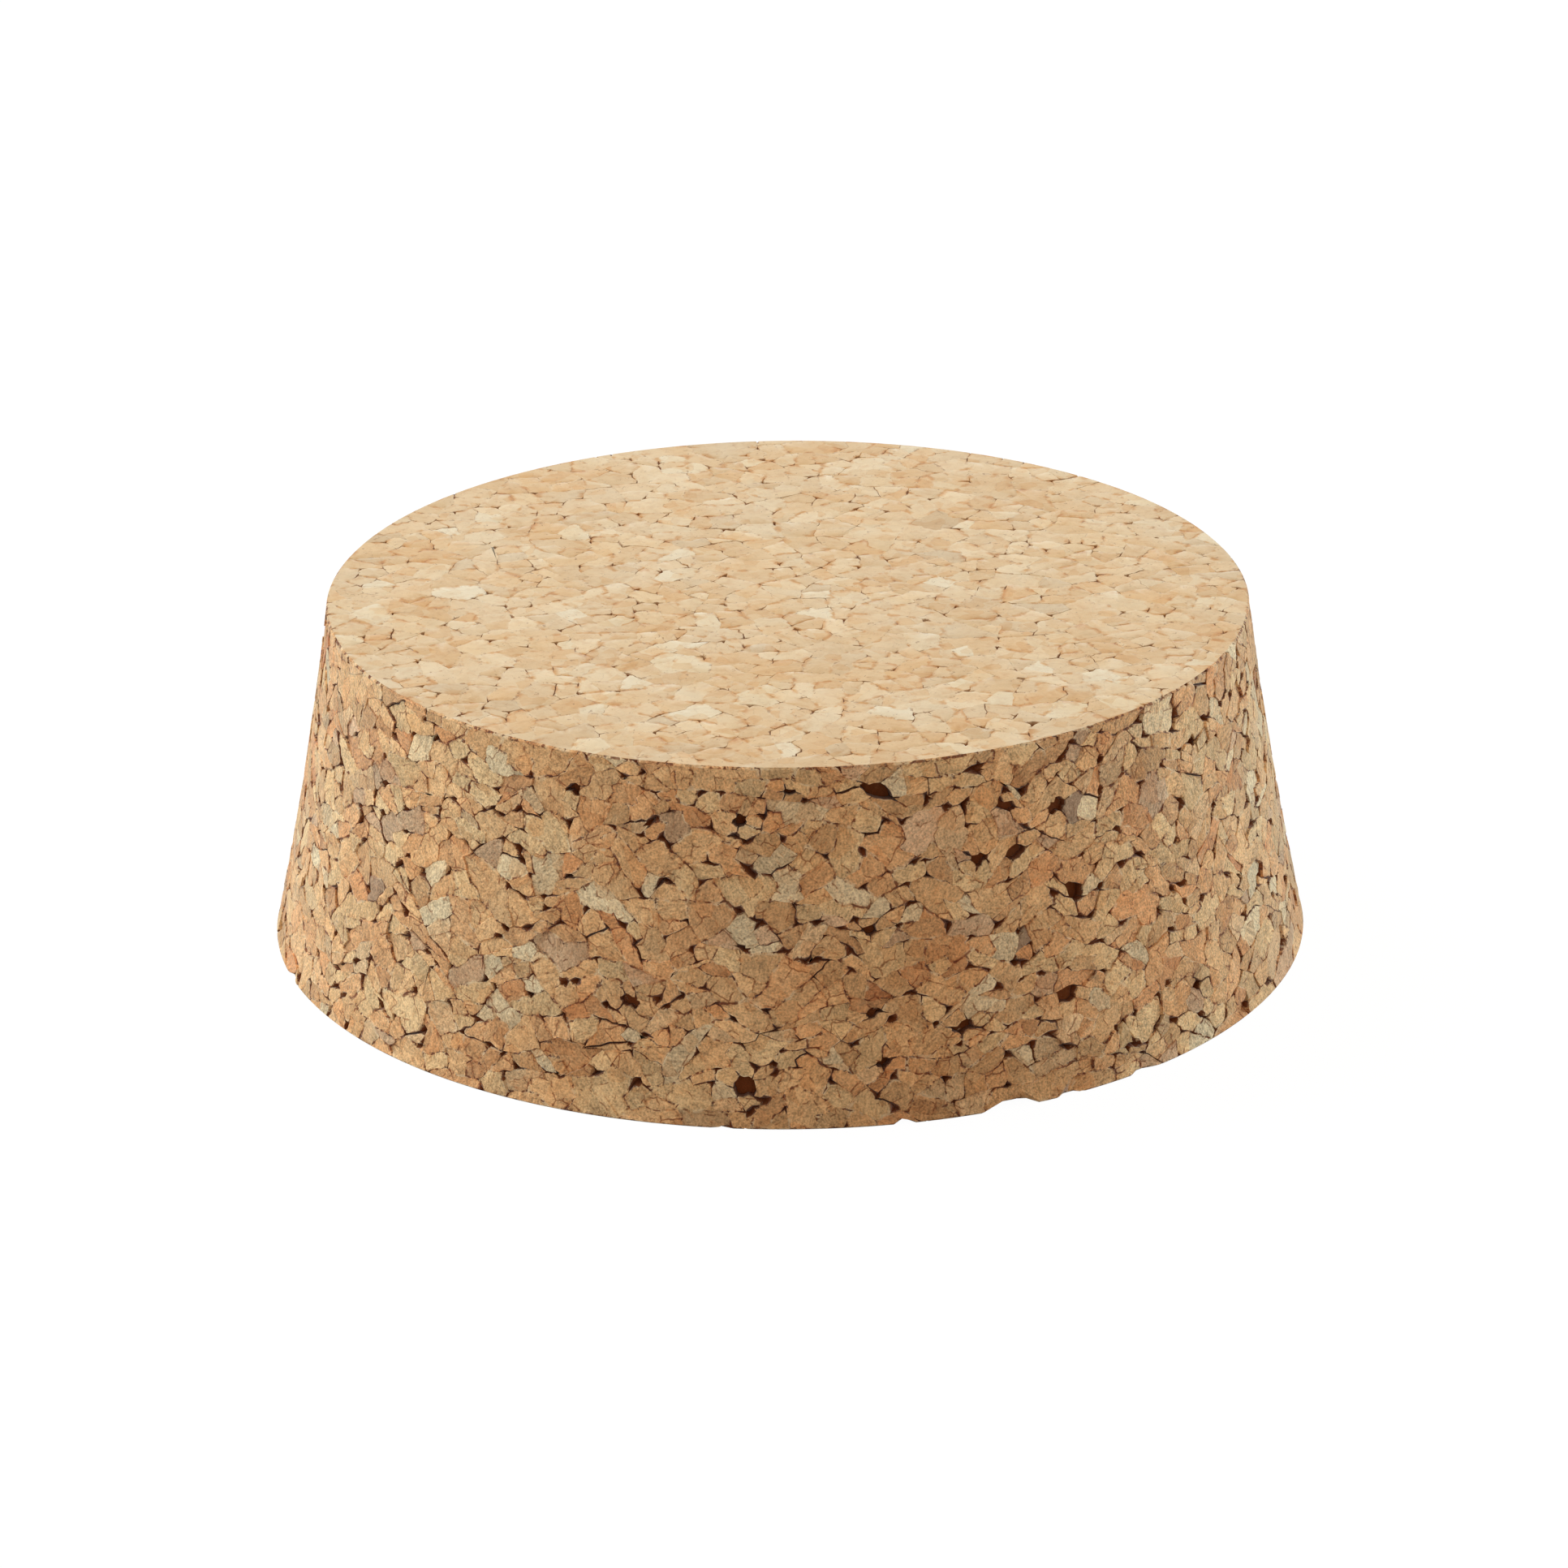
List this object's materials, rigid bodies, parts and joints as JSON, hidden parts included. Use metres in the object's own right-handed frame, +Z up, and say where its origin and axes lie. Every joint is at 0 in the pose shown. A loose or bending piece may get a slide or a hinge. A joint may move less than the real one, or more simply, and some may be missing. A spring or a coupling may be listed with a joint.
{
  "type": "cork stopper",
  "caption": "Low tapered round stopper pressed from cork granules, with a hollowed wall and flat sliced ends; it wedges into the neck of a wide jar.",
  "frame": {"origin": "centre of the wide end, on the surface it stands on", "axes": "+Z up along the stopper's axis to the narrow end; +X to the right and -Y towards the viewer in the picture"},
  "size_m": [0.0598, 0.0598, 0.02],
  "materials": {
    "cork": "dry matt pressed cork granules"
  },
  "bodies": {
    "root": {"stopper": "cork"}
  },
  "joints": []
}
